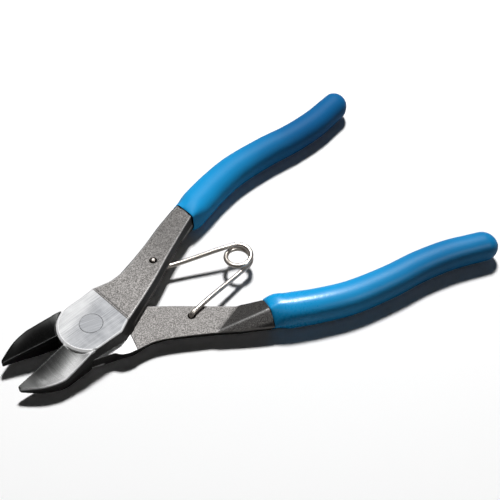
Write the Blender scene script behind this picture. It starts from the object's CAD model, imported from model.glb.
import math

import bpy
import numpy as np
from mathutils import Matrix, Vector


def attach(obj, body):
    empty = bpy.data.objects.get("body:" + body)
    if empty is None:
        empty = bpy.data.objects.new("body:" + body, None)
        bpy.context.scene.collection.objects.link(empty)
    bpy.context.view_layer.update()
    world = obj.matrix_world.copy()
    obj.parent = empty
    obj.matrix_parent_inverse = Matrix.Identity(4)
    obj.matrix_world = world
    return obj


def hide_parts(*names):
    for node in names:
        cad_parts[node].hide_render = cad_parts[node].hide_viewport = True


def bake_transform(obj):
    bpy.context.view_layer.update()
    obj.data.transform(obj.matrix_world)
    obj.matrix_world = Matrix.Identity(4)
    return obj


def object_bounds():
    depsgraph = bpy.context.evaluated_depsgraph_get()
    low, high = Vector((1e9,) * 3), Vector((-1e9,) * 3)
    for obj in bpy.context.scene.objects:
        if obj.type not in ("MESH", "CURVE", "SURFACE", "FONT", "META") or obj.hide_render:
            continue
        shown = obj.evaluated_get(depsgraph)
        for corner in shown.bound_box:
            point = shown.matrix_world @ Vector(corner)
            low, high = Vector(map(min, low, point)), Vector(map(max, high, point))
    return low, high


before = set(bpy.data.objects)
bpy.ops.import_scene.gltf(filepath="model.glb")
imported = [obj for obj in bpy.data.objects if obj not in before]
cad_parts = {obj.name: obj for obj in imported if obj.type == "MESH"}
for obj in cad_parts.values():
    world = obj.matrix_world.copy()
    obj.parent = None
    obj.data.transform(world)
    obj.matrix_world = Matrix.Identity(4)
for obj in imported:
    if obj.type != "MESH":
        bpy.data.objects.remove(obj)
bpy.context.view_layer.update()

# Flush cutter: two forged halves on a rivet, with a sleeve on each handle and a wire spring between
# the handles. Each half is shaped in millimetres in its closed position: the joint's axis on Z
# through the origin, the jaw towards -X, the handle towards +X on the +Y side, and the parting plane
# at z = 0. The upper half is turned about Z to its place at rest. The lower half is also rolled over.
MM = 0.001
HALF_THICK = 5.1
PARTING_Z = HALF_THICK  # height of the parting plane in the frame
OPEN_DEG = 20.5         # angle between the halves at rest
MOUTH_X = 58.6          # where the steel enters the sleeve


def turned(degrees):
    """Turn about the joint, at the height of the parting plane."""
    return (Matrix.Translation((0, 0, PARTING_Z * MM))
            @ Matrix.Rotation(math.radians(degrees), 4, 'Z'))


place_upper = turned(OPEN_DEG / 2)
place_lower = turned(-OPEN_DEG / 2) @ Matrix.Rotation(math.pi, 4, 'X')


# ---- curves and fields -----------------------------------------------------------------------

def step(value, low, high):
    """Smooth rise from 0 at low to 1 at high."""
    t = np.clip((np.asarray(value, float) - low) / (high - low), 0.0, 1.0)
    return t * t * (3.0 - 2.0 * t)


def fade(value, low, high):
    """Smooth fall from 1 at low to 0 at high."""
    return 1.0 - step(value, low, high)


def bell(offset, width):
    return np.exp(-(offset / width) ** 2)


def smooth_max(a, b, blend):
    """Maximum with a rounded corner; of two fields, what both hold."""
    near = np.maximum(blend - np.abs(a - b), 0.0) / blend
    return np.maximum(a, b) + near * near * blend * 0.25


def smooth_min(a, b, blend):
    return -smooth_max(-a, -b, blend)


def slopes(values, at):
    """Slope at every knot, from its neighbours."""
    out = np.empty_like(values)
    out[1:-1] = ((values[2:] - values[:-2]).T / (at[2:] - at[:-2])).T
    out[0] = (values[1] - values[0]) / (at[1] - at[0])
    out[-1] = (values[-1] - values[-2]) / (at[-1] - at[-2])
    return out


def hermite(start, end, start_slope, end_slope, gap, t):
    """Cubic between two knots a gap apart, at t from 0 to 1."""
    return ((2 * t ** 3 - 3 * t ** 2 + 1) * start + (t ** 3 - 2 * t ** 2 + t) * gap * start_slope
            + (3 * t ** 2 - 2 * t ** 3) * end + (t ** 3 - t ** 2) * gap * end_slope)


def curve_through(points, per_span=6):
    """Smooth open line through points."""
    knots = np.array(points, float)
    gaps = np.maximum(np.linalg.norm(np.diff(knots, axis=0), axis=1), 1e-6)
    slope = slopes(knots, np.concatenate(([0.0], np.cumsum(gaps))))
    out = []
    for i in range(len(knots) - 1):
        for k in range(per_span):
            out.append(hermite(knots[i], knots[i + 1], slope[i], slope[i + 1], gaps[i],
                               k / per_span))
    out.append(knots[-1])
    return [tuple(point) for point in out]


def station_value(stations, x, column):
    """Smooth value of a column of the stations at every x; column 0 is x."""
    table = np.array(sorted(stations), float)
    x = np.asarray(x, float)
    knots, values = table[:, 0], table[:, column]
    slope = slopes(values, knots)
    i = np.clip(np.searchsorted(knots, x) - 1, 0, len(knots) - 2)
    gap = knots[i + 1] - knots[i]
    return hermite(values[i], values[i + 1], slope[i], slope[i + 1], gap, (x - knots[i]) / gap)


def flat_field(outline):
    """Signed distance to a closed outline on the grid's XY plane, negative inside."""
    x, y = np.meshgrid(xs, ys, indexing='ij')
    nearest = np.full(x.shape, 1e9)
    inside = np.zeros(x.shape, bool)
    for i, (ax, ay) in enumerate(outline):
        bx, by = outline[(i + 1) % len(outline)]
        run_x, run_y = bx - ax, by - ay
        square = run_x * run_x + run_y * run_y
        if square < 1e-12:
            continue
        t = np.clip(((x - ax) * run_x + (y - ay) * run_y) / square, 0.0, 1.0)
        nearest = np.minimum(nearest, (x - ax - t * run_x) ** 2 + (y - ay - t * run_y) ** 2)
        if ay != by:
            inside ^= ((ay > y) != (by > y)) & (x < run_x * (y - ay) / run_y + ax)
    return np.where(inside, -1.0, 1.0) * np.sqrt(nearest)


def lookup(field, x, y):
    """Value of a flat field at points, from the four grid values around each."""
    i = np.clip(np.searchsorted(xs, x) - 1, 0, len(xs) - 2)
    j = np.clip(np.searchsorted(ys, y) - 1, 0, len(ys) - 2)
    u, v = (x - xs[i]) / (xs[i + 1] - xs[i]), (y - ys[j]) / (ys[j + 1] - ys[j])
    return ((field[i, j] * (1 - u) + field[i + 1, j] * u) * (1 - v)
            + (field[i, j + 1] * (1 - u) + field[i + 1, j + 1] * u) * v)


def surface(values, axes):
    """Closed quad mesh of the zero level of a field on a grid; negative is inside."""
    inside = values < 0
    shape = tuple(size - 1 for size in values.shape)
    corners = [(i, j, k) for k in (0, 1) for j in (0, 1) for i in (0, 1)]
    count = np.zeros(shape, np.int8)
    for corner in corners:
        count += inside[tuple(slice(c, c + size) for c, size in zip(corner, shape))]

    # one vertex in every cell that the surface crosses, at the mean of its edge crossings
    cells = np.nonzero((count > 0) & (count < 8))
    cell_count = len(cells[0])
    index = np.full(shape, -1, np.int64)
    index[cells] = np.arange(cell_count)
    total = np.zeros((cell_count, 3))
    hits = np.zeros(cell_count)
    for corner in corners:
        for axis in range(3):
            if corner[axis]:
                continue
            start = tuple(cell + c for cell, c in zip(cells, corner))
            end = tuple(s + (i == axis) for i, s in enumerate(start))
            start_value, end_value = values[start], values[end]
            cross = (start_value < 0) != (end_value < 0)
            t = np.where(cross, start_value / np.where(cross, start_value - end_value, 1.0), 0.0)
            start_point = np.stack([line[s] for line, s in zip(axes, start)], 1)
            end_point = np.stack([line[e] for line, e in zip(axes, end)], 1)
            total += np.where(cross[:, None],
                              start_point + (end_point - start_point) * t[:, None], 0.0)
            hits += cross

    # one quad around every grid edge that the surface crosses
    faces = []
    for axis in range(3):
        u, v = (axis + 1) % 3, (axis + 2) % 3
        low, high = [slice(None)] * 3, [slice(None)] * 3
        low[axis], high[axis] = slice(0, -1), slice(1, None)
        before, after = inside[tuple(low)], inside[tuple(high)]
        where = np.nonzero(before != after)
        kept = (where[u] > 0) & (where[v] > 0) & (where[u] < shape[u]) & (where[v] < shape[v])
        edge = [w[kept] for w in where]
        outward = before[where][kept]
        quad = []
        for du, dv in ((1, 1), (0, 1), (0, 0), (1, 0)):
            cell = [e.copy() for e in edge]
            cell[u] -= du
            cell[v] -= dv
            quad.append(index[tuple(cell)])
        quad = np.stack(quad, 1)
        quad[~outward] = quad[~outward][:, ::-1]
        faces.append(quad)
    return total / hits[:, None], np.concatenate(faces)


# ---- meshes ----------------------------------------------------------------------------------

def mesh_object(name, verts, faces, place=None):
    """Mesh object from points in millimetres. The points are kept in "spot" for the materials,
    then turned to place. Faces are an array of quads or a list of mixed faces."""
    mesh = bpy.data.meshes.new(name)
    if isinstance(faces, np.ndarray):
        mesh.vertices.add(len(verts))
        mesh.vertices.foreach_set("co", (np.asarray(verts, np.float32) * MM).ravel())
        mesh.loops.add(faces.size)
        mesh.loops.foreach_set("vertex_index", faces.astype(np.int32).ravel())
        mesh.polygons.add(len(faces))
        starts = np.arange(len(faces)) * faces.shape[1]
        mesh.polygons.foreach_set("loop_start", starts.astype(np.int32))
        mesh.update(calc_edges=True)
        mesh.validate()
    else:
        mesh.from_pydata([tuple(c * MM for c in v) for v in verts], [], faces)
        mesh.update()
    mesh.shade_smooth()
    spots = np.zeros(len(mesh.vertices) * 3, np.float32)
    mesh.vertices.foreach_get("co", spots)
    point_vector(mesh, "spot", spots / np.float32(MM))
    if place is not None:
        mesh.transform(place)
    obj = bpy.data.objects.new(name, mesh)
    bpy.context.scene.collection.objects.link(obj)
    return obj


def point_vector(mesh, name, values):
    mesh.attributes.new(name, 'FLOAT_VECTOR', 'POINT').data.foreach_set("vector", values)


def point_value(mesh, name, values):
    attribute = mesh.attributes.new(name, 'FLOAT', 'POINT')
    attribute.data.foreach_set("value", np.asarray(values, np.float32))


def capped_rings(first, rings, final):
    """Points and faces of a skin from a first pole, through rings, to a final pole."""
    sides = len(rings[0])
    verts = [first] + [point for ring in rings for point in ring] + [final]
    faces = []
    for k in range(sides):
        n = (k + 1) % sides
        faces.append((0, 1 + n, 1 + k))
        for i in range(len(rings) - 1):
            a, b = 1 + i * sides, 1 + (i + 1) * sides
            faces.append((a + k, a + n, b + n, b + k))
        last = 1 + (len(rings) - 1) * sides
        faces.append((last + k, last + n, len(verts) - 1))
    return verts, faces


def face_outwards(mesh):
    """Turns the faces outwards, judged by the enclosed volume."""
    mesh.calc_loop_triangles()
    volume = 0.0
    for triangle in mesh.loop_triangles:
        a, b, c = (mesh.vertices[i].co for i in triangle.vertices)
        volume += a.dot(b.cross(c))
    if volume < 0:
        mesh.flip_normals()


# ---- sizes of the forged halves --------------------------------------------------------------

LAP_RADIUS = 12.0   # round shoulder about the joint
LAP_Z = 0.05        # face on which the halves meet
BORE_RADIUS = 4.01
BOSS_SIDE_Y = 11.3  # where the round shoulder meets the boss's straight +Y side

arc_start = math.acos(-math.sqrt(LAP_RADIUS ** 2 - BOSS_SIDE_Y ** 2) / LAP_RADIUS)
shoulder = [(LAP_RADIUS * math.cos(a), LAP_RADIUS * math.sin(a))
            for a in np.linspace(arc_start, math.radians(232.2), 60)]

# Outlines in plan (x, y): the -Y side out to the sleeve, back along the +Y side, then the shoulder.
nose = [(-6.2, -9.72), (5.4, -9.9)]
# at the outer face
top_outline = (
    nose
    + curve_through([(10.0, -7.5), (14.4, -5.85), (22.0, -2.95), (29.9, 0.3), (38.5, 4.35),
                     (45.6, 7.4), (51.5, 10.0), (58.0, 12.7), (61.0, 13.9)])
    + curve_through([(61.0, 21.0), (58.0, 20.2), (48.3, 17.8), (39.6, 14.9), (30.3, 12.0),
                     (23.5, 10.1), (17.6, 9.8), (14.7, 10.4), (10.8, 11.5)])
    + [(8.0, 11.4), (5.4, BOSS_SIDE_Y)] + shoulder)
# at the parting plane
mid_return = curve_through([(61.0, 24.1), (58.0, 23.3), (48.3, 20.6), (39.3, 17.5), (31.0, 15.1),
                            (23.3, 13.2), (18.6, 12.5), (15.0, 12.7), (11.2, 13.2), (8.6, 13.4),
                            (6.2, 13.0), (4.1, 11.4)]) + shoulder
mid_outline = (
    nose
    + curve_through([(10.0, -7.5), (14.4, -6.4), (22.0, -3.3), (29.9, -0.15), (38.5, 3.7),
                     (45.6, 6.9), (51.5, 9.5), (58.0, 12.1), (61.0, 13.3)])
    + mid_return)
# at the parting plane of the upper half, which leans out a little more on the -Y side
lean_outline = (
    [(-6.2, -9.72), (-2.0, -10.0), (6.1, -10.85)]
    + curve_through([(11.4, -8.85), (15.2, -7.15), (22.4, -4.05), (30.2, -0.75), (38.6, 3.4),
                     (45.6, 6.8), (51.5, 9.5), (58.0, 12.1), (61.0, 13.3)])
    + mid_return)

JAW_TIP_X = -32.2
EDGE_TOP_Z, EDGE_TIP_Z = 4.7, -0.3  # cutting edge's height at the shoulder and at the tip
# outer rim of the jaw's hollow top: x, y, z
JAW_RIM = ((-3.0, -9.0, 4.7), (-8.0, -9.7, 4.7), (-12.3, -9.8, 3.2), (-18.6, -9.75, 1.1),
           (-20.8, -9.35, 0.75), (-23.6, -8.2, 0.45), (-26.4, -6.6, 0.15), (-29.4, -4.1, -0.2),
           (JAW_TIP_X, -1.45, -0.6))

SLEEVE_END = 149.2
SLEEVE_ROUND = 5.6  # length of the sleeve's rounded end
ROUND_X = SLEEVE_END - SLEEVE_ROUND
GROWN = (MOUTH_X, MOUTH_X + 9.0)  # span over which the sleeve takes its full section
# sleeve: x, centre y, half width
HANDLE = ((52.0, 17.0, 6.6), (58.0, 17.7, 6.2), (66.0, 18.7, 6.35), (77.0, 20.9, 6.15),
          (89.0, 22.2, 6.0), (105.0, 21.2, 5.75), (118.0, 19.3, 5.6), (130.0, 18.8, 5.5),
          (140.0, 19.7, 5.3), (SLEEVE_END, 20.7, 5.2))
TANG_INSET = 1.06   # from the sleeve's outer surface to the steel inside

WEB_Z = 0.5                   # inner face of the thin web
STEP_START = (39.4, 16.7)     # line where the web starts to slant down to full thickness
STEP_END = (50.1, 9.3)
STEP_RUN = 12.5
RIDGE_END = (58.5, 18.7)      # ridge of the slanting facet on the +Y side, from STEP_START

HOLE = (32.5, 12.65)          # hole for the spring's leg, at rest
HOLE_RADIUS = 1.3
closing = -math.radians(OPEN_DEG / 2)
hole_closed = (HOLE[0] * math.cos(closing) - HOLE[1] * math.sin(closing),
               HOLE[0] * math.sin(closing) + HOLE[1] * math.cos(closing))


def grip_centre(x):
    return station_value(HANDLE, x, 1)


def grip_width(x):
    """Half width of the sleeve, before its end is rounded."""
    return station_value(HANDLE, np.minimum(x, ROUND_X), 2)


def grip_thick(x):
    """Half thickness of the sleeve, before its end is rounded."""
    return 6.15 - 0.8 * (x - MOUTH_X) / (SLEEVE_END - MOUTH_X)


def section_power(across, x):
    """Power of the sleeve's rounded section, by side at the mouth and even once it is grown."""
    power = np.where(across > 0, 1.5, 4.0)
    return power + (2.15 - power) * step(x, *GROWN)


def top_of(x):
    """Height of the outer face: the ground boss, then two shallow steps down."""
    return HALF_THICK - 0.17 * step(x, 10.05, 10.25) - 0.15 * step(x, 10.95, 11.15)


def jaw_run(x):
    """Share of the way along the jaw, from the shoulder to the tip."""
    return np.maximum((x + LAP_RADIUS) / (JAW_TIP_X + LAP_RADIUS), 0.0)


def jaw_edge_z(run):
    return EDGE_TOP_Z + (EDGE_TIP_Z - EDGE_TOP_Z) * run


# ---- fields of the forged halves -------------------------------------------------------------

# The grid is coarser along the sleeve.
x_step, y_step, z_step = ((0.25, 0.22, 0.2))
xs = np.concatenate((np.arange(-33.4, 60.0, x_step), np.arange(60.0, 150.3, 1.1)))
ys = np.arange(-11.3, 29.3, y_step)
zs = np.arange(-5.95, 5.95, z_step)
X, Y, Z = xs[:, None, None], ys[None, :, None], zs[None, None, :]
top_field = flat_field(top_outline)
mid_field = flat_field(mid_outline)
lean_field = flat_field(lean_outline)

axis_dist = np.sqrt(X ** 2 + Y ** 2)
hole_dist = np.sqrt((X - hole_closed[0]) ** 2 + (Y - hole_closed[1]) ** 2)
# room for the other half's boss
lap_room = np.maximum(np.maximum(np.minimum(axis_dist - 12.2, -(X + 7.3)), Z - LAP_Z), X - 12.0)


def web_height():
    """Inner face of the handle: the level web, then the slant down to the other outer face."""
    run_x, run_y = STEP_END[0] - STEP_START[0], STEP_END[1] - STEP_START[1]
    length = math.hypot(run_x, run_y)
    past = (X - STEP_START[0]) * (-run_y / length) + (Y - STEP_START[1]) * (run_x / length)
    return smooth_min(WEB_Z, WEB_Z - (HALF_THICK + WEB_Z) / STEP_RUN * past, 0.35)


web_z = web_height()


def jaw_field(side):
    """Tapering jaw with a hollow-ground top. Side is -1 for the rolled-over half, whose jaw still
    has its hollow on top."""
    jaw_xs = xs[xs < -2.0]
    x, z = jaw_xs[:, None, None], side * Z
    rim_y, rim_z = station_value(JAW_RIM, x, 1), station_value(JAW_RIM, x, 2)
    edge_z = jaw_edge_z(jaw_run(x))
    lift = np.maximum((-19.0 - x) / (-19.0 - JAW_TIP_X), 0.0)
    bottom = -HALF_THICK + 0.02 + 2.3 * lift ** 1.6
    width = np.maximum(-rim_y, 0.3)

    # top: a parabola from the edge to the rim, through a sagging point at 0.55 of the width
    t = np.clip(-Y / width, -0.3, 1.3)
    sag_z = 0.5 * (edge_z + rim_z) - 0.105 * width ** 0.8 * (1.0 - 0.85 * step(-x, 23.0, 29.5))
    drop, mid_drop = rim_z - edge_z, sag_z - edge_z
    bend = (mid_drop - 0.55 * drop) / (0.3025 - 0.55)
    top = edge_z + (drop - bend) * t + bend * t * t
    upper = (z - top) / np.sqrt(1.0 + ((drop - bend + 2 * bend * t) / width) ** 2 + 0.06)

    # outer wall, drawn in towards the bottom, with a thin raised line along it
    fall = np.clip((rim_z - z) / np.maximum(rim_z - bottom, 0.5), 0.0, 1.2)
    plan_slope = np.gradient(rim_y[:, 0, 0], jaw_xs)[:, None, None]
    outer = rim_y + np.minimum(0.8, 0.12 * width) * fall ** 3 - Y
    outer = outer / np.sqrt(1.0 + plan_slope ** 2)
    outer = outer - 0.07 * bell(z + 0.35 - 0.05 * (x + 12.0), width=0.26)

    # inner wall, relieved below the cutting edge in two slopes
    under = np.clip((edge_z - z) / np.maximum(edge_z - bottom, 0.5), -0.05, 1.2)
    relief = np.where(under < 0.45, under * 0.55 / 0.45, 0.55 + (under - 0.45) * 0.2 / 0.55)
    inner = Y + 0.03 + np.minimum(0.28 * width, 2.2) * relief

    body = smooth_max(smooth_max(upper, outer, 0.3), bottom - z, 0.6)
    body = smooth_max(body, JAW_TIP_X - x, 0.35)
    return smooth_max(body, inner / 1.05, 0.07)


def plate_field(middle_field):
    """Boss and bare handle, up to the sleeve."""
    top, middle = top_field[:, :, None], middle_field[:, :, None]
    share = np.minimum(np.abs(Z) / HALF_THICK, 1.15)
    lean = np.clip((top - middle) / HALF_THICK, -1.0, 1.0)
    wall = (middle + (top - middle) * share) / np.sqrt(1.0 + lean ** 2)
    wall = wall - 0.16 * bell(Z, width=0.30)  # raised parting line
    plate = smooth_max(wall, np.abs(Z) - top_of(X), np.where(X < 10.4, 0.22, 0.55))
    # chamfer of the boss, wider around the shoulder
    around = step(axis_dist, 10.9, 11.2) * fade(X, -3.0, -1.0)
    chamfer = (wall + np.abs(Z) - HALF_THICK + 0.34 + 0.40 * around) / math.sqrt(2.0)
    plate = smooth_max(plate, np.where(X < 10.3, chamfer, -9.0), 0.12)
    inner_face = LAP_Z + (web_z - LAP_Z) * step(X, 11.7, 11.95)
    plate = smooth_max(plate, inner_face - Z, 0.14)
    # slanting facet on the +Y side
    start = Vector((39.4, 17.3, 0.0))
    low_end, high_end = Vector((58.5, 18.7, -HALF_THICK)), Vector((58.0, 23.9, 0.0))
    normal = (high_end - start).cross(low_end - start).normalized()
    facet = (X - start.x) * normal.x + (Y - start.y) * normal.y + (Z - start.z) * normal.z
    plate = smooth_max(plate, np.where(X > 34.0, facet, -9.0), 0.3)
    return smooth_max(plate, X - (MOUTH_X - 0.05), 0.12)


def tang_field():
    """Steel inside the sleeve."""
    inset = TANG_INSET + 0.4 * fade(X, *GROWN)
    across = (Y - grip_centre(X)) / (grip_width(X) - inset)
    power = section_power(across, X)
    gauge = np.abs(across) ** power + np.abs(Z / (grip_thick(X) - inset)) ** power
    gauge = gauge ** (1.0 / power)
    end = np.maximum((X - ROUND_X) / (SLEEVE_END - TANG_INSET - ROUND_X), 0.0)
    tang = (np.sqrt(gauge ** 2 + end ** 2) - 1.0) * 4.0
    tang = np.maximum(tang, (MOUTH_X - 1.0) - X)
    return smooth_max(tang, web_z - Z, 0.14)


def half_masks(side, middle_field, points, normal_z):
    """Material masks at the surface points of one half. Steps and bells place each mask in
    millimetres, or in the Z part of the normal."""
    x, y, z = points.T
    upper = side > 0
    radius = np.hypot(x, y)
    top, middle = lookup(top_field, x, y), lookup(middle_field, x, y)
    wall_gap = middle + (top - middle) * np.minimum(np.abs(z) / HALF_THICK, 1.15)
    steep = np.abs(normal_z)
    rim_x = np.clip(x, JAW_TIP_X, -2.0)
    rim_y, rim_z = station_value(JAW_RIM, rim_x, 1), station_value(JAW_RIM, rim_x, 2)
    edge_z = jaw_edge_z(np.minimum(jaw_run(x), 1.0))

    # ground boss, lap face and hollow jaw top
    ground = fade(x, 10.0, 10.2) * step(z, 4.45, 4.65) * step(normal_z, 0.25, 0.45)
    lap_face = (fade(np.abs(z - LAP_Z), 0.12, 0.3) * fade(x, 11.7, 11.95)
                * step(-normal_z, 0.5, 0.8) * step(x, -9.0, -8.6))
    top_start = LAP_RADIUS if upper else 12.32
    jaw_top = (fade(x, -5.0, -4.0) * step(radius, top_start, top_start + 0.2)
               * step(side * normal_z, 0.3, 0.55))

    # dark walls, the parting line on them and a second line on the handle's -Y side
    wall = fade(steep, 0.60, 0.72)
    if not upper:
        wall = np.maximum(wall, fade(x, -5.0, -4.0) * fade(radius, 12.32, 12.52) * (z < 3.9))
    parting = bell(z, width=0.30) * wall * step(x, -8, -2)
    handle_middle = np.interp(x, (12.0, 23.0, 30.0, 38.5, 48.0), (2.0, 3.5, 6.0, 9.7, 13.0))
    flash = (bell(z - 1.35, width=0.24) * wall * step(x, 11.0, 14.0) * fade(x, 40.0, 46.0)
             * (y < handle_middle))
    parting = np.maximum(parting, flash)

    # rubbed edges: outer faces, facet ridge, web, jaw rim and cutting edge
    jaw_rim = (bell(y - rim_y, width=0.36) * bell(side * z - rim_z, width=0.42)
               * (radius > 12.05) * fade(x, -7.5, -6.5))
    jaw_edge = bell(y, width=0.30) * bell(side * z - edge_z, width=0.30) * fade(x, -12.4, -12.1)
    (ax, ay), (bx, by) = STEP_START, RIDGE_END
    ridge_gap = np.abs((x - ax) * (by - ay) - (y - ay) * (bx - ax)) / math.hypot(bx - ax, by - ay)
    worn = bell(wall_gap + 0.08, width=0.30) * bell(top_of(x) - np.abs(z), width=0.30)
    for edge in (bell(ridge_gap, width=0.42) * step(x, 38, 42) * (z < 1.0) * step(steep, 0.2, 0.5),
                 bell(middle, width=0.3) * bell(z - WEB_Z, width=0.3) * step(x, 11.5, 12.5),
                 0.8 * np.maximum(jaw_rim, jaw_edge)):
        worn = np.maximum(worn, edge)

    # bright rims: the shoulder's chamfer, and on the upper half the boss's border and the jaw
    rim = (step(radius, 11.0, 11.15) * fade(radius, 12.2, 12.35) * step(z, 3.6, 4.0)
           * fade(x, -0.5, 0.5) * (y > -9.66))
    border = (bell(top + 0.12, width=0.25) * step(z, 4.5, 4.7) * fade(x, 9.9, 10.1)
              * step(normal_z, 0.2, 0.4) * upper)
    rim = np.maximum(np.maximum(rim, border), 0.95 * jaw_rim * upper)
    bright = step(-y / np.maximum(-rim_y, 0.3), 0.45, 1.0) * fade(x, -8.5, -7.5) * upper
    bright = bright * (1 - 0.8 * step(-x, 23.0, 29.0))

    # tone darkens parts of each half, and the slanted step more than the web
    if upper:
        tone = 1 - 0.40 * step(x, 20.0, 48.0) - 0.5 * step(-x, 19.5, 28.0)
    else:
        tone = 1 - 0.58 * fade(x, -9.0, -5.0)
    # distance past the step's line, with its direction to four digits
    past = 0.5688 * (x - STEP_START[0]) + 0.8225 * (y - STEP_START[1])
    tone = tone * (1 - 0.62 * step(past, 0.0, 0.5) * step(-normal_z, 0.80, 0.88) * (z < 0.2)
                   * step(x, 38.0, 41.0))

    # dark lines in the two shallow steps beside the boss
    lines = np.maximum(bell(x - 10.18, width=0.14), 0.7 * bell(x - 11.05, width=0.14))
    wall = np.maximum(wall, lines * step(z, 4.4, 4.6)) * (1 - rim)
    return {"rim": rim, "bright": bright, "sheen": step(-0.25 * x + 0.75 * y, 0.0, 6.5),
            "tone": tone, "ground": ground, "lap_face": lap_face, "jaw_top": jaw_top,
            "wall": wall, "parting": parting, "worn": worn}


def make_half(body, side, place, middle_field):
    values = np.minimum(plate_field(middle_field), tang_field())
    jaw = jaw_field(side)
    count = jaw.shape[0]
    values[:count] = smooth_min(values[:count], jaw, 0.12)
    values = smooth_max(values, -lap_room, 0.1)
    values = smooth_max(values, BORE_RADIUS - axis_dist, 0.03)
    values = smooth_max(values, HOLE_RADIUS - hole_dist, 0.3)
    points, faces = surface(values, (xs, ys, zs))
    obj = mesh_object(f"{body}_forging", points, faces, place)
    mesh = obj.data
    normals = np.zeros(len(mesh.vertices) * 3, np.float32)
    mesh.vertex_normals.foreach_get("vector", normals)
    normal_z = side * normals.reshape(-1, 3)[:, 2].astype(float)
    for name, mask in half_masks(side, middle_field, points, normal_z).items():
        point_value(mesh, name, mask)
    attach(obj, body)
    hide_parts(f"{body}_half")
    return obj


# ---- materials -------------------------------------------------------------------------------

class Graph:
    """Short way to write a material's node tree."""

    def __init__(self, name):
        self.mat = bpy.data.materials.new(name)
        self.mat.use_nodes = True
        self.tree = self.mat.node_tree
        self.bsdf = self.tree.nodes["Principled BSDF"]
        self.place = None

    def node(self, kind, **values):
        node = self.tree.nodes.new(kind)
        for key, value in values.items():
            setattr(node, key, value)
        return node

    def put(self, socket, value):
        if isinstance(value, bpy.types.NodeSocket):
            self.tree.links.new(value, socket)
        elif isinstance(value, tuple) and len(value) == 3 and socket.type == 'RGBA':
            socket.default_value = (*value, 1.0)
        else:
            socket.default_value = value

    def fill(self, node, sockets):
        for key, value in sockets.items():
            self.put(node.inputs[key], value)

    def math(self, operation, a, b, clamp=False):
        node = self.node('ShaderNodeMath', operation=operation, use_clamp=clamp)
        self.fill(node, {0: a, 1: b})
        return node.outputs[0]

    def ramp(self, value, span, to=(0.0, 1.0)):
        """Clamped change of a value from one range to another."""
        node = self.node('ShaderNodeMapRange', clamp=True)
        self.fill(node, dict(enumerate((value, *span, *to))))
        return node.outputs[0]

    def mix(self, share, base, over):
        node = self.node('ShaderNodeMix', data_type='FLOAT')
        self.fill(node, {0: share, 2: base, 3: over})
        return node.outputs[0]

    def tint(self, share, base, over):
        node = self.node('ShaderNodeMix', data_type='RGBA')
        self.fill(node, {0: share, 6: base, 7: over})
        return node.outputs[2]

    def attribute(self, name, output="Fac"):
        return self.node('ShaderNodeAttribute', attribute_name=name).outputs[output]

    def spot(self, stretch, shift):
        """Place on the piece, in millimetres, stretched and shifted."""
        if self.place is None:
            self.place = self.attribute("spot", "Vector")
        node = self.node('ShaderNodeMapping')
        self.fill(node, {"Vector": self.place, "Scale": stretch, "Location": shift})
        return node.outputs[0]

    def noise(self, stretch=(1.0, 1.0, 1.0), shift=(0.0, 0.0, 0.0), scale=1.0, detail=2.0,
              rough=0.5, vector=None):
        """Noise over the place on the piece, or over another vector."""
        if vector is None:
            vector = self.spot(stretch, shift)
        node = self.node('ShaderNodeTexNoise')
        self.fill(node, {"Vector": vector, "Scale": scale, "Detail": detail, "Roughness": rough})
        return node.outputs["Fac"]

    def bump(self, height, distance):
        """Relief, with its distance in metres."""
        node = self.node('ShaderNodeBump')
        self.fill(node, {"Strength": 1.0, "Distance": distance, "Height": height})
        self.put(self.bsdf.inputs["Normal"], node.outputs[0])

    def set(self, **values):
        for key, value in values.items():
            self.put(self.bsdf.inputs[key.replace("_", " ")], value)


# grinding streaks along X, coarse and fine
STREAK = dict(stretch=(0.05, 3.2, 1.0), detail=4.0, rough=0.7)
FINE_STREAK = dict(stretch=(0.12, 9.0, 1.0), detail=3.0, rough=0.7)
GROUND_ROUGH = dict(span=(0.25, 0.75), to=(0.62, 0.72))


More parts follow.
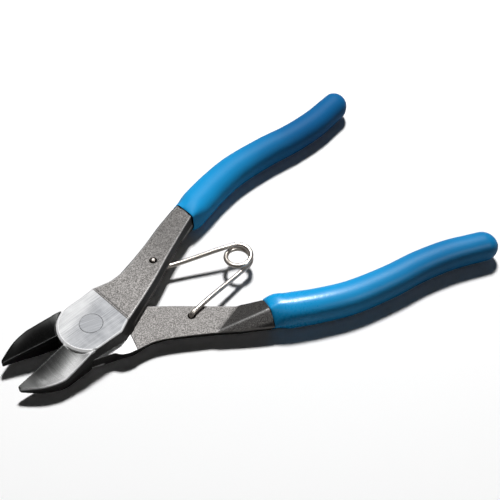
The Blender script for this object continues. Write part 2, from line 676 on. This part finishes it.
def steel_material():
    """Blasted steel, overlaid by the finish of each masked area."""
    g = Graph("forged_steel")
    grain = g.noise(stretch=(2.5, 2.5, 2.5), shift=(0.3, 0.6, 0.5), rough=0.6)
    coarse = g.noise(scale=0.35, detail=3.0, rough=0.6)
    streak = g.noise(**STREAK)
    streak_fine = g.noise(**FINE_STREAK)
    cross = g.noise(stretch=(3.0, 0.16, 0.16), detail=4.0, rough=0.7)
    cloud = g.noise(stretch=(0.25, 0.18, 0.2))
    ground, lap, jaw, rim, bright, sheen, tone, wall, parting, worn = (
        g.attribute(name) for name in ("ground", "lap_face", "jaw_top", "rim", "bright", "sheen",
                                       "tone", "wall", "parting", "worn"))

    # blasted web
    speck = g.ramp(grain, span=(0.36, 0.66))
    web = g.tint(speck, base=(0.074, 0.070, 0.066), over=(0.262, 0.250, 0.242))
    web = g.tint(g.ramp(coarse, span=(0.35, 0.7), to=(0.0, 0.3)), web, over=(0.19, 0.184, 0.18))
    rough = g.ramp(grain, span=(0.3, 0.7), to=(0.66, 0.54))
    metal = 0.8
    # dark walls
    wall_colour = g.tint(g.ramp(grain, span=(0.35, 0.75)),
                         base=(0.008, 0.0075, 0.007), over=(0.026, 0.024, 0.022))
    colour = g.tint(wall, web, wall_colour)
    rough = g.mix(wall, rough, over=0.5)
    metal = g.mix(wall, metal, over=0.25)
    # parting line and rubbed edges
    line = g.math('MULTIPLY', parting, g.ramp(coarse, span=(0.3, 0.6), to=(0.35, 0.9)), clamp=True)
    colour = g.tint(line, colour, over=(0.27, 0.255, 0.235))
    rub = g.math('MULTIPLY', worn, g.ramp(grain, span=(0.3, 0.62), to=(0.45, 1.0)), clamp=True)
    colour = g.tint(rub, colour, over=(0.80, 0.79, 0.78))
    rough = g.mix(rub, rough, over=0.40)
    metal = g.mix(rub, metal, over=0.45)
    # hollow-ground jaw tops
    jaw_colour = g.tint(g.ramp(cross, span=(0.3, 0.7)),
                        base=(0.31, 0.315, 0.31), over=(0.47, 0.475, 0.47))
    colour = g.tint(jaw, colour, jaw_colour)
    rough = g.mix(jaw, rough, over=g.ramp(cross, span=(0.25, 0.75), to=(0.18, 0.24)))
    metal = g.mix(jaw, metal, over=1.0)
    polish = g.math('MULTIPLY', jaw, bright)
    polish_colour = g.tint(cross, base=(0.62, 0.62, 0.62), over=(0.92, 0.92, 0.92))
    colour = g.tint(polish, colour, polish_colour)
    metal = g.mix(polish, metal, over=0.62)
    # machined lap face
    lap_colour = g.tint(streak_fine, base=(0.72, 0.72, 0.72), over=(0.88, 0.88, 0.88))
    colour = g.tint(lap, colour, lap_colour)
    rough = g.mix(lap, rough, over=0.64)
    metal = g.mix(lap, metal, over=0.85)
    # ground boss, cleaner where sheen is high
    dull = g.tint(g.ramp(streak, span=(0.3, 0.7)),
                  base=(0.155, 0.16, 0.17), over=(0.33, 0.337, 0.348))
    clean = g.tint(g.ramp(streak, span=(0.3, 0.7)),
                   base=(0.27, 0.272, 0.275), over=(0.52, 0.522, 0.525))
    boss_colour = g.tint(sheen, dull, clean)
    boss_colour = g.tint(g.ramp(cloud, span=(0.35, 0.75), to=(0.0, 0.3)), boss_colour,
                         over=(0.55, 0.55, 0.555))
    colour = g.tint(ground, colour, boss_colour)
    rough = g.mix(ground, rough, over=g.ramp(streak_fine, **GROUND_ROUGH))
    metal = g.mix(ground, metal, over=1.0)
    # darkening, then the bright rims
    colour = g.tint(g.math('SUBTRACT', 1.0, tone, clamp=True), colour, over=(0.0, 0.0, 0.0))
    colour = g.tint(rim, colour, over=(0.95, 0.95, 0.95))
    metal = g.mix(rim, metal, over=0.0)
    rough = g.mix(rim, rough, over=0.38)
    # relief: blasted grain, or a tenth as deep in lines where the steel is smooth
    blasted = g.math('MULTIPLY', grain, 1.0)
    jaw_lines = g.mix(jaw, base=0.5, over=cross)
    boss_lines = g.math('ADD', g.math('MULTIPLY', streak, 0.5),
                        g.math('MULTIPLY', streak_fine, 0.5))
    lines = g.mix(ground, jaw_lines, boss_lines)
    smooth_share = g.math('ADD', g.math('ADD', ground, jaw), lap, clamp=True)
    g.bump(g.mix(smooth_share, blasted, over=g.math('MULTIPLY', lines, 0.10)), distance=0.00011)
    g.set(Base_Color=colour, Roughness=rough, Metallic=metal)
    return g.mat


def rivet_material():
    g = Graph("rivet_steel")
    streak = g.noise(**STREAK)
    streak_fine = g.noise(**FINE_STREAK)
    colour = g.tint(g.ramp(streak, span=(0.3, 0.7)),
                    base=(0.165, 0.17, 0.18), over=(0.35, 0.357, 0.368))
    g.bump(streak_fine, distance=0.000012)
    g.set(Base_Color=colour, Metallic=1.0, Roughness=g.ramp(streak_fine, **GROUND_ROUGH))
    return g.mat


def vinyl_material():
    """Blue vinyl, brighter where tone is high and shinier where gloss is."""
    g = Graph("blue_vinyl")
    peel = g.noise(scale=0.9)
    cloud = g.noise(scale=0.06)
    fresh = g.math('ADD', g.attribute("tone"),
                   g.ramp(cloud, span=(0.3, 0.7), to=(-0.06, 0.06)), clamp=True)
    gloss = g.attribute("gloss")
    colour = g.tint(fresh, base=(0.004, 0.118, 0.31), over=(0.010, 0.36, 0.76))
    g.bump(peel, distance=0.00003)
    g.set(Base_Color=colour, Metallic=0.0,
          Roughness=g.mix(gloss, base=0.52, over=g.ramp(peel, span=(0.3, 0.7), to=(0.25, 0.31))),
          Specular_IOR_Level=g.mix(gloss, base=0.12, over=0.36))
    return g.mat


def wire_material():
    """Drawn wire, streaked along its length."""
    g = Graph("spring_wire")
    stretched = g.node('ShaderNodeVectorMath', operation='MULTIPLY')
    g.fill(stretched, {0: g.attribute("drawn", "Vector"), 1: (3.0, 3.0, 0.16)})
    drawn = g.noise(vector=stretched.outputs[0], scale=1.4, detail=3.0, rough=0.6)
    colour = g.tint(g.ramp(drawn, span=(0.3, 0.7)),
                    base=(0.52, 0.47, 0.42), over=(0.80, 0.74, 0.68))
    g.bump(drawn, distance=0.00003)
    g.set(Base_Color=colour, Metallic=1.0,
          Roughness=g.ramp(drawn, span=(0.3, 0.7), to=(0.28, 0.40)))
    return g.mat


steel = steel_material()
halves = [make_half("upper", 1, place_upper, lean_field),
          make_half("lower", -1, place_lower, mid_field)]
for half in halves:
    half.data.materials.append(steel)


# ---- rivet -----------------------------------------------------------------------------------

RIVET_SIDES = 96
# upper half of the profile between the poles: radius, z
RIVET_PROFILE = ((1.4, 5.1), (2.8, 5.1), (3.7, 5.1), (3.97, 5.1), (3.993, 5.094), (4.0, 5.07),
                 (4.0, 2.5))


def make_rivet():
    profile = RIVET_PROFILE + tuple((r, -z) for r, z in RIVET_PROFILE[::-1])
    angles = [2 * math.pi * k / RIVET_SIDES for k in range(RIVET_SIDES)]
    rings = [[(r * math.cos(a), r * math.sin(a), z) for a in angles] for r, z in profile]
    verts, faces = capped_rings((0.0, 0.0, HALF_THICK), rings, (0.0, 0.0, -HALF_THICK))
    # rings from the top down need their faces the other way round
    faces = [(face[0], *face[:0:-1]) for face in faces]
    obj = mesh_object("flush_rivet", verts, faces, place_lower)
    obj.data.materials.append(rivet_material())
    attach(obj, "lower")
    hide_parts("joint_rivet")


make_rivet()


# ---- sleeves ---------------------------------------------------------------------------------

GRIP_SIDES = 72
GRIP_ANGLES = [2 * math.pi * (k + 0.5) / GRIP_SIDES for k in range(GRIP_SIDES)]
SLEEVE_START = MOUTH_X + 0.25
SLEEVE_WALL = 0.9
LIP_COVER = 0.22  # how far the lip stands off the steel
# section of the bare steel where it enters the sleeve: y, z
NECK = ((12.55, 4.8), (20.3, 4.8), (23.3, 0.1), (18.8, -4.95), (12.6, -2.75), (12.05, 0.0))


def neck_reach(angle, centre):
    """Distance from the centre to the neck's outline in a direction."""
    aim_y, aim_z = math.cos(angle), math.sin(angle)
    reach = 0.0
    for i in range(len(NECK)):
        corner = np.array(NECK[i]) - centre
        edge = np.array(NECK[(i + 1) % len(NECK)]) - centre - corner
        det = aim_y * -edge[1] + aim_z * edge[0]
        if abs(det) < 1e-9:
            continue
        distance = (corner[0] * -edge[1] + corner[1] * edge[0]) / det
        along = (aim_y * corner[1] - aim_z * corner[0]) / det
        if distance > 0 and -1e-9 <= along <= 1 + 1e-9:
            reach = max(reach, distance)
    return reach


def neck_profile():
    """Reach of the neck at every angle of a ring, its corners softened."""
    centre = np.array((float(grip_centre(MOUTH_X)), 0.0))
    reach = np.array([neck_reach(a, centre) for a in GRIP_ANGLES])
    for _ in range(2):
        reach = 0.25 * np.roll(reach, 1) + 0.5 * reach + 0.25 * np.roll(reach, -1)
    return reach


neck = neck_profile()


def grip_ring(x, inset=0.0):
    """Ring of the sleeve at x, inset from its outer surface."""
    width = float(grip_width(x)) - inset
    thick = float(grip_thick(x)) - inset
    close = 1.0
    if x > ROUND_X:
        end = SLEEVE_END - inset
        close = math.sqrt(max(1.0 - ((x - ROUND_X) / (end - ROUND_X)) ** 2, 0.0))
    centre = float(grip_centre(x))
    slope = float(grip_centre(x + 0.05) - grip_centre(x - 0.05)) / 0.1
    width *= math.sqrt(1.0 + slope * slope)
    # near the mouth the wall swells from a thin lip at the steel's own outline
    t = min(max((x - SLEEVE_START) / 7.0, 0.0), 1.0)
    rise = float(step(t, 0, 1))
    swell = math.sqrt(max(1.0 - (1.0 - t) ** 2, 0.0)) * 0.55 + 0.45 * rise
    out = []
    for k, angle in enumerate(GRIP_ANGLES):
        c, s = math.cos(angle), math.sin(angle)
        power = float(section_power(c, x))
        reach = (abs(c) ** power + abs(s) ** power) ** (-1.0 / power)
        y, z = width * reach * c, thick * reach * s
        if x < MOUTH_X + 8.0:
            share = swell
            if c > 0 and s > 0:
                share += (rise ** 1.4 - share) * math.sin(2 * angle) ** 0.5
            start = neck[k] + LIP_COVER
            target = start + (math.hypot(y, z) - start) * share
            near_y, near_z = target * c, target * s
            y, z = near_y + (y - near_y) * share, near_z + (z - near_z) * share
        out.append((x, centre + y * close, z * close))
    return out


def inner_ring(x):
    """Ring of the sleeve's inner surface; its wall is thin at the mouth."""
    if x > SLEEVE_START + 6.0:
        return grip_ring(x, SLEEVE_WALL)
    wall = 0.16 + 0.74 * float(step(x, SLEEVE_START, SLEEVE_START + 6.0))
    centre = float(grip_centre(x))
    out = []
    for _, y, z in grip_ring(x):
        reach = math.hypot(y - centre, z)
        scale = max(reach - wall, 0.1) / reach
        out.append((x, centre + (y - centre) * scale, z * scale))
    return out


def lip_ring(outer, inner, t):
    """Ring of the rounded lip, at share t of the way from the outer to the inner surface."""
    out = []
    for a, b in zip(outer, inner):
        x, y, z = (a[i] + (b[i] - a[i]) * t for i in range(3))
        out.append((x - 0.08 * math.sin(math.pi * t), y, z))
    return out


def make_grip(body, place, material, tone, gloss):
    """Sleeve of one handle; tone and gloss are given as values near the mouth and further out."""
    outer_x = [SLEEVE_START + run for run in (0.02, 0.08, 0.2, 0.4, 0.7, 1.1)]
    outer_x += list(np.arange(SLEEVE_START + 1.6, MOUTH_X + 10.0, 0.6))
    outer_x += list(np.arange(MOUTH_X + 10.4, ROUND_X - 0.5, 1.3))
    outer_x += [ROUND_X + SLEEVE_ROUND * math.sin(a)
                for a in np.linspace(0.0, math.radians(88.5), 22)]
    inner_x = [SLEEVE_START + run for run in (0.02, 0.3, 1.0, 2.0, 3.5, 5.5, 8.0)]
    inner_x += list(np.arange(SLEEVE_START + 11.0, ROUND_X - 1.0, 4.0))
    inner_x += [ROUND_X + (SLEEVE_ROUND - SLEEVE_WALL) * math.sin(a)
                for a in np.linspace(0.0, math.radians(86), 10)]
    outer = [grip_ring(x) for x in outer_x]
    inner = [inner_ring(x) for x in inner_x]
    lip = [lip_ring(outer[0], inner[0], t) for t in (0.25, 0.5, 0.75)]
    tip_out, tip_in = ((x, float(grip_centre(x)), 0.0)
                       for x in (SLEEVE_END, SLEEVE_END - SLEEVE_WALL))
    verts, faces = capped_rings(tip_out, outer[::-1] + lip + inner, tip_in)
    obj = mesh_object(f"{body}_sleeve", verts, faces, place)
    face_outwards(obj.data)
    along = np.array(verts)[:, 0]
    point_value(obj.data, "tone", tone[0] + (tone[1] - tone[0]) * step(along, 66.0, 128.0))
    point_value(obj.data, "gloss", gloss[0] + (gloss[1] - gloss[0]) * step(along, 70.0, 92.0))
    obj.data.materials.append(material)
    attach(obj, body)
    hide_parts(f"{body}_grip")


vinyl = vinyl_material()
make_grip("upper", place_upper, vinyl, tone=(0.85, 0.0), gloss=(0.0, 0.0))
make_grip("lower", place_lower, vinyl, tone=(1.0, 0.35), gloss=(1.0, 0.45))


# ---- spring ----------------------------------------------------------------------------------

# Heights are about the parting plane.
WIRE_RADIUS = 0.87
WIRE_SIDES = 20
COIL_X, COIL_RADIUS = 60.7, 4.6
COIL_TOP, COIL_BOTTOM = 2.1, -1.0
LEG_Z = 0.55        # leg's distance from the parting plane, on the other half's side
WIRE_END_Z = 5.4    # domed end of the wire
DOME = 0.45         # height of the dome
BEND_RADIUS = 1.2
LEG_KEPT = 22       # points at each end that stay when the bends are softened


def leg(side):
    """Wire centres from the end in a hole to the coil, at rest, and the angle on the coil."""
    hole = np.array((HOLE[0], side * HOLE[1]))
    span = np.array((COIL_X, 0.0)) - hole
    size = float(np.hypot(*span))
    heading = math.atan2(span[1], span[0]) + math.asin(COIL_RADIUS / size) * side
    length = math.sqrt(size ** 2 - COIL_RADIUS ** 2)
    aim = np.array((math.cos(heading), math.sin(heading)))
    touch = hole + aim * length
    leg_z = -LEG_Z * side
    coil_z = COIL_TOP if side > 0 else COIL_BOTTOM
    points = [(hole[0], hole[1], side * z) for z in np.linspace(WIRE_END_Z - DOME, 1.2, 10)]
    for k in range(10):
        a = math.radians(90.0 * k / 9)
        x, y = hole + aim * (BEND_RADIUS * (1 - math.cos(a)))
        points.append((x, y, leg_z + side * BEND_RADIUS * (1 - math.sin(a))))
    for k in range(1, 25):
        run = BEND_RADIUS + (length - BEND_RADIUS) * k / 24
        x, y = hole + aim * run
        points.append((x, y, leg_z + (coil_z - leg_z) * float(step(run, 5.0, length))))
    return points, math.atan2(touch[1], touch[0] - COIL_X)


def wire_line():
    """Wire centres from the upper hole, round the coil, to the lower hole."""
    upper_leg, start = leg(1)
    lower_leg, finish = leg(-1)
    sweep = start - (finish - 2 * math.pi)
    count = int(sweep / math.radians(5.0))
    turns = []
    for k in range(1, count):
        a = start - sweep * k / count
        turns.append((COIL_X + COIL_RADIUS * math.cos(a), COIL_RADIUS * math.sin(a),
                      COIL_TOP + (COIL_BOTTOM - COIL_TOP) * k / count))
    line = np.array(upper_leg + turns + lower_leg[::-1], float)
    line[:, 2] += PARTING_Z
    # soften the bends a little where the leg meets the coil
    n = LEG_KEPT
    for _ in range(2):
        line[n:-n] = 0.25 * line[n - 1:-n - 1] + 0.5 * line[n:-n] + 0.25 * line[n + 1:-n + 1]
    return line


def make_spring():
    line = wire_line()
    tangent = np.gradient(line, axis=0)
    tangent /= np.linalg.norm(tangent, axis=1)[:, None]
    length = np.concatenate(([0.0], np.cumsum(np.linalg.norm(np.diff(line, axis=0), axis=1))))
    # directions across the wire; it starts straight down, so the first may be X
    across = []
    sideways = np.array((1.0, 0.0, 0.0))
    for along in tangent:
        sideways = sideways - along * float(sideways @ along)
        sideways = sideways / np.linalg.norm(sideways)
        across.append(sideways)

    rings, drawn = [], [(0.0, 0.0, 0.0)]

    def add_ring(i, offset=0.0, radius=WIRE_RADIUS):
        """Ring at point i of the line, moved along it by offset."""
        centre = line[i] + tangent[i] * offset
        u, v = across[i], np.cross(tangent[i], across[i])
        ring = []
        for k in range(WIRE_SIDES):
            a = 2 * math.pi * k / WIRE_SIDES
            ring.append(tuple(centre + radius * (math.cos(a) * u + math.sin(a) * v)))
            drawn.append((math.cos(a), math.sin(a), float(length[i])))
        rings.append(ring)

    dome = [math.radians(degrees) for degrees in (10, 25, 40, 55, 70)]
    for a in dome:
        add_ring(0, -DOME * math.cos(a), WIRE_RADIUS * math.sin(a))
    for i in range(len(line)):
        add_ring(i)
    for a in dome[::-1]:
        add_ring(-1, DOME * math.cos(a), WIRE_RADIUS * math.sin(a))
    drawn.append((0.0, 0.0, float(length[-1])))
    verts, faces = capped_rings(tuple(line[0] - tangent[0] * DOME), rings,
                                tuple(line[-1] + tangent[-1] * DOME))
    obj = mesh_object("return_spring", verts, faces)
    face_outwards(obj.data)
    point_vector(obj.data, "drawn", np.array(drawn, np.float32).ravel())
    obj.data.materials.append(wire_material())
    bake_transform(obj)
    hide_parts("spring_lower_leg", "spring_upper_leg")


make_spring()


# ---- floor -----------------------------------------------------------------------------------

def make_floor(height, reach=4.0):
    """Square floor, in metres. It is darker to all but the camera, to throw less light back."""
    mesh = bpy.data.meshes.new("floor")
    corners = ((-reach, -reach), (reach, -reach), (reach, reach), (-reach, reach))
    mesh.from_pydata([(x, y, height) for x, y in corners], [], [(0, 1, 2, 3)])
    obj = bpy.data.objects.new("floor", mesh)
    bpy.context.scene.collection.objects.link(obj)
    g = Graph("floor_paper")
    seen = g.node('ShaderNodeLightPath').outputs["Is Camera Ray"]
    g.set(Base_Color=g.tint(seen, base=(0.36, 0.36, 0.36), over=(0.97, 0.97, 0.97)),
          Roughness=0.75, Metallic=0.0, Specular_IOR_Level=0.2)
    mesh.materials.append(g.mat)


FLOOR_GAP = 0.00002  # metres below the lowest point
low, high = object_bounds()
make_floor(low[2] - FLOOR_GAP)


# ---- camera ----------------------------------------------------------------------------------

CAMERA_AT = (-104.01, -245.62, 348.03)
azimuth, elevation, roll = (math.radians(degrees) for degrees in (-34.655, 48.869, 0.503))

# from the scene towards the camera, and the level direction to the picture's right
back = Vector((math.sin(azimuth) * math.cos(elevation), -math.cos(azimuth) * math.cos(elevation),
               math.sin(elevation)))
right = (-back).cross(Vector((0, 0, 1))).normalized()


def make_camera():
    up = right.cross(-back)
    data = bpy.data.cameras.new("camera")
    data.lens = 89.84
    data.sensor_width = 36.0
    data.clip_start = 0.01
    camera = bpy.data.objects.new("camera", data)
    bpy.context.scene.collection.objects.link(camera)
    columns = (math.cos(roll) * right + math.sin(roll) * up,
               -math.sin(roll) * right + math.cos(roll) * up, back)
    pose = Matrix(columns).transposed().to_4x4()
    pose.translation = [value * MM for value in CAMERA_AT]
    camera.matrix_world = pose
    bpy.context.scene.camera = camera


make_camera()


# ---- lights ----------------------------------------------------------------------------------

behind = Vector((-back.x, -back.y, 0.0)).normalized()
left = Vector((-right.x, -right.y, 0.0)).normalized()
LIGHT_TARGET = Vector((0.06, 0.0, 0.0))


def direction(turn, lift):
    """Direction in degrees: turn is to the left of straight behind the object, lift above the
    floor."""
    turn, lift = math.radians(turn), math.radians(lift)
    flat = behind * math.cos(turn) + left * math.sin(turn)
    return flat * math.cos(lift) + Vector((0, 0, 1)) * math.sin(lift)


def soft_box(name, turn, lift, distance, width, height, power):
    """Area light aimed at the target; sizes in metres, power in watts."""
    aim = direction(turn, lift)
    data = bpy.data.lights.new(name, 'AREA')
    data.shape = 'RECTANGLE'
    data.size, data.size_y = width, height
    data.energy = power
    obj = bpy.data.objects.new(name, data)
    bpy.context.scene.collection.objects.link(obj)
    obj.location = LIGHT_TARGET + aim * distance
    obj.rotation_euler = aim.to_track_quat('Z', 'Y').to_euler()
    return obj


soft_box("key", turn=-3, lift=62, distance=1.1, width=0.17, height=0.17, power=14.6)
soft_box("front_card", turn=182, lift=50, distance=1.3, width=0.34, height=0.34, power=0.36)
side_card = soft_box("side_card", turn=-121, lift=40, distance=1.3, width=0.30, height=0.20,
                     power=3.6)
side_card.visible_diffuse = False


# ---- world -----------------------------------------------------------------------------------

SHADE_RANGE = (-0.4, 0.8, 0.008, 0.04)  # dot product from, to; strength from, to
PATCH_TURN, PATCH_LIFT = 75, 62
PATCH_SHARPNESS = 29.0
PATCH_STRENGTH = 1.3


def make_world():
    """Dim surround, brighter towards the camera's side, unseen by diffuse rays, with one soft
    bright patch above the left for the hollow jaw to catch."""
    world = bpy.data.worlds.new("studio")
    bpy.context.scene.world = world
    world.cycles_visibility.diffuse = False
    world.use_nodes = True
    nodes, links = world.node_tree.nodes, world.node_tree.links
    background = nodes["Background"]
    coord = nodes.new('ShaderNodeTexCoord')

    def towards(aim):
        node = nodes.new('ShaderNodeVectorMath')
        node.operation = 'DOT_PRODUCT'
        links.new(coord.outputs["Generated"], node.inputs[0])
        node.inputs[1].default_value = tuple(aim)
        return node.outputs["Value"]

    def math_node(operation):
        node = nodes.new('ShaderNodeMath')
        node.operation = operation
        return node

    facing = towards((-behind.x, -behind.y, 0.0))
    shade = nodes.new('ShaderNodeMapRange')
    links.new(facing, shade.inputs[0])
    for i, value in enumerate(SHADE_RANGE):
        shade.inputs[i + 1].default_value = value
    patch = towards(direction(PATCH_TURN, PATCH_LIFT))
    glow = math_node('POWER')
    glow.use_clamp = True
    front = math_node('MAXIMUM')
    links.new(patch, front.inputs[0])
    front.inputs[1].default_value = 0.0
    links.new(front.outputs[0], glow.inputs[0])
    glow.inputs[1].default_value = PATCH_SHARPNESS
    total = math_node('MULTIPLY_ADD')
    links.new(glow.outputs[0], total.inputs[0])
    total.inputs[1].default_value = PATCH_STRENGTH
    links.new(shade.outputs[0], total.inputs[2])
    links.new(total.outputs[0], background.inputs["Strength"])
    background.inputs["Color"].default_value = (1.0, 1.0, 1.0, 1.0)


make_world()

bpy.context.scene.view_settings.view_transform = 'Standard'
bpy.context.scene.view_settings.look = 'None'
